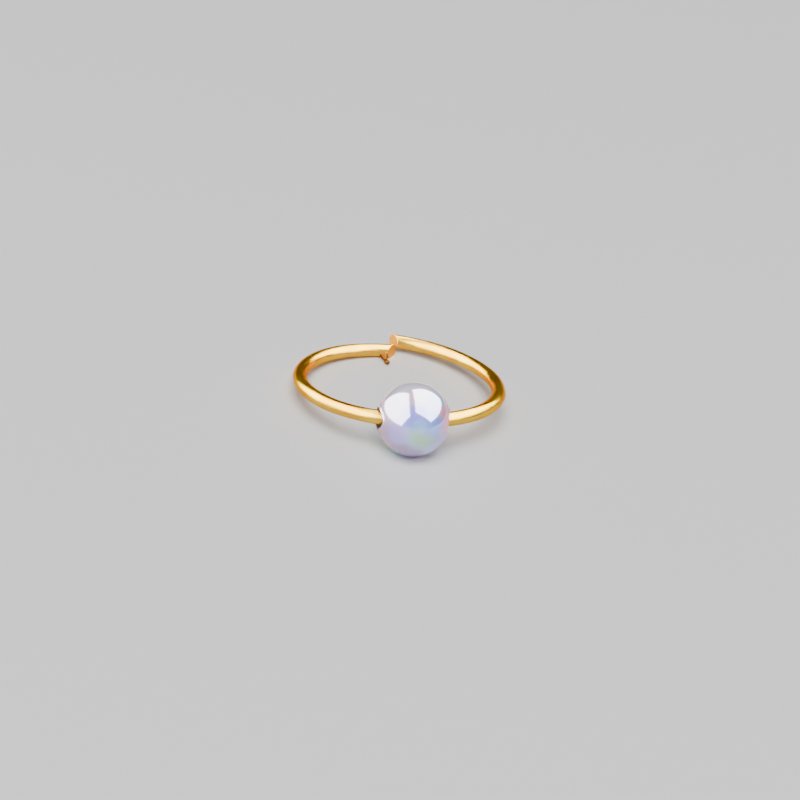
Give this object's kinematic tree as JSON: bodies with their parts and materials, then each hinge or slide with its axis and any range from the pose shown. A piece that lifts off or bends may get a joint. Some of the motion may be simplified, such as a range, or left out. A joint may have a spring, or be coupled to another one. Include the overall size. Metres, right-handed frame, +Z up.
{
  "type": "nose ring",
  "caption": "Thin gold-coloured wire nose ring, open at the back where the cut ends pass each other, with a drilled round pearl bead that slides on the wire at the front.",
  "frame": {"origin": "on the surface that the ring lies on, under the middle of the ring's box", "axes": "+Z up from that surface, -Y towards the bead, +Y towards the cut, +X to the right of the bead seen from the front"},
  "size_m": [0.0092, 0.0108, 0.0031],
  "materials": {
    "gold_wire": "polished gold-coloured plating with fine drawing marks along the wire",
    "pearl_coat": "glossy white imitation pearl with a rainbow coat"
  },
  "bodies": {
    "hoop": {"hoop": "gold_wire"},
    "bead": {"pearl_bead": "pearl_coat"}
  },
  "joints": [
    {"name": "bead_slide", "type": "hinge", "parent": "hoop", "child": "bead", "pos_m": [0, 0.00023, 0.00096], "axis": [-0.0274, 0.1407, 0.9897], "range_deg": [-150, 100]}
  ]
}
